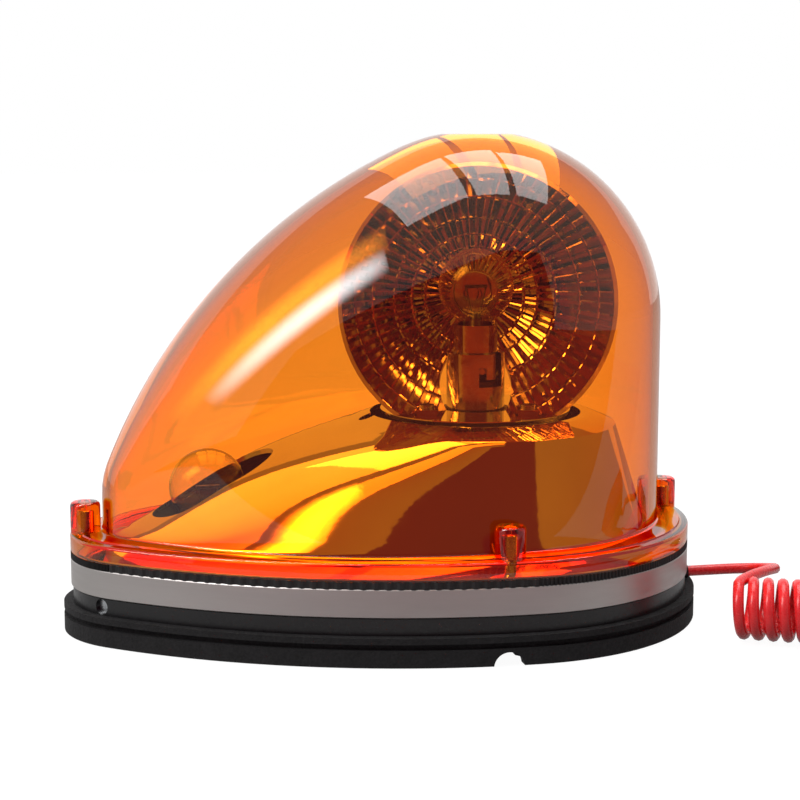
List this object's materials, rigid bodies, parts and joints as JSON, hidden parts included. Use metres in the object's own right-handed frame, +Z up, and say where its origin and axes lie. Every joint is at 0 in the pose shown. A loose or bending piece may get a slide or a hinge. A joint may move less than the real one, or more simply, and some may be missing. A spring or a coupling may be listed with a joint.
{
  "type": "rotating beacon",
  "caption": "Teardrop-shaped amber rotating warning beacon with a faceted reflector, magnet base and a curly supply lead ending in a vehicle power plug.",
  "frame": {"origin": "on the rotor's axis, in the plane of the magnet's pole face and the rubber pad's foot", "axes": "+Z up along the rotor's axis, -X towards the pointed nose, +X towards the round tail where the lead leaves, +Y to the side away from the coiled lead"},
  "size_m": [0.4058, 0.1709, 0.1652],
  "materials": {
    "pad_rubber": "fine grain",
    "zinc_steel": "zinc plated",
    "ferrite": "sintered",
    "tub_abs": "moulded",
    "trim_aluminium": "satin",
    "amber_lens": "clear moulded",
    "metallised_cover": "vacuum metallised",
    "metallised_reflector": "vacuum metallised",
    "acetal": "moulded",
    "brass_parts": "drawn",
    "phenolic": "pressed",
    "lamp_glass": "blown",
    "filament_wire": "drawn",
    "motor_steel": "nickel plated",
    "motor_plastic": "moulded",
    "armature_iron": "wound laminations",
    "red_cord": "smooth",
    "plug_plastic": "moulded",
    "nickel": "nickel plated"
  },
  "bodies": {
    "base": {"rubber_pad": "pad_rubber", "magnet_cup": "zinc_steel", "ring_magnet": "ferrite", "magnet_bolt": "zinc_steel", "magnet_washer": "zinc_steel", "base_tub": "tub_abs", "trim_band": "trim_aluminium", "lens_gasket": "pad_rubber", "lens_dome": "amber_lens", "lens_screws": "zinc_steel", "side_screws": "zinc_steel", "chrome_cover": "metallised_cover", "chassis_pillars": "zinc_steel", "chassis_plate": "zinc_steel", "chassis_screws": "zinc_steel", "bearing_sleeve": "zinc_steel", "thrust_washer": "acetal", "socket_lock_ring": "zinc_steel", "socket_tube": "brass_parts", "socket_insulator": "phenolic", "socket_contact": "brass_parts", "lamp_cap": "brass_parts", "lamp_glass": "lamp_glass", "lamp_filament": "filament_wire", "nose_socket_tube": "brass_parts", "nose_socket_insulator": "phenolic", "nose_socket_contact": "brass_parts", "nose_lamp_cap": "brass_parts", "nose_lamp_glass": "lamp_glass", "nose_lamp_filament": "filament_wire", "cable_grommet": "pad_rubber", "motor_can": "motor_steel", "motor_end_cap": "motor_plastic", "motor_screws": "zinc_steel", "cord_lead": "red_cord", "cord_coil": "red_cord", "cord_tail": "red_cord", "plug_relief": "plug_plastic", "plug_body": "plug_plastic", "plug_collar": "plug_plastic", "plug_earth_springs": "nickel"},
    "rotor": {"rotor_hub": "acetal", "drive_wheel": "acetal", "turntable": "acetal", "reflector": "metallised_reflector", "reflector_screws": "zinc_steel"},
    "motor_rotor": {"motor_shaft": "zinc_steel", "motor_armature": "armature_iron", "pinion": "brass_parts"},
    "plug_contact": {"plug_tip": "nickel"}
  },
  "joints": [
    {"name": "rotor_spin", "type": "hinge", "parent": "base", "child": "rotor", "pos_m": [0, 0, 0], "axis": [0, 0, 1], "continuous": true},
    {"name": "motor_spin", "type": "hinge", "parent": "base", "child": "motor_rotor", "pos_m": [-0.028, 0, 0], "axis": [0, 0, 1], "continuous": true},
    {"name": "plug_tip_slide", "type": "slide", "parent": "base", "child": "plug_contact", "axis": [0.9994, -0.0349, 0], "range_m": [0, 0.0025], "stiffness_N_per_m": 1500, "springref_m": -0.0006}
  ],
  "couplings": [
    {"joint": "motor_spin", "follows": "rotor_spin", "ratio": -6}
  ]
}
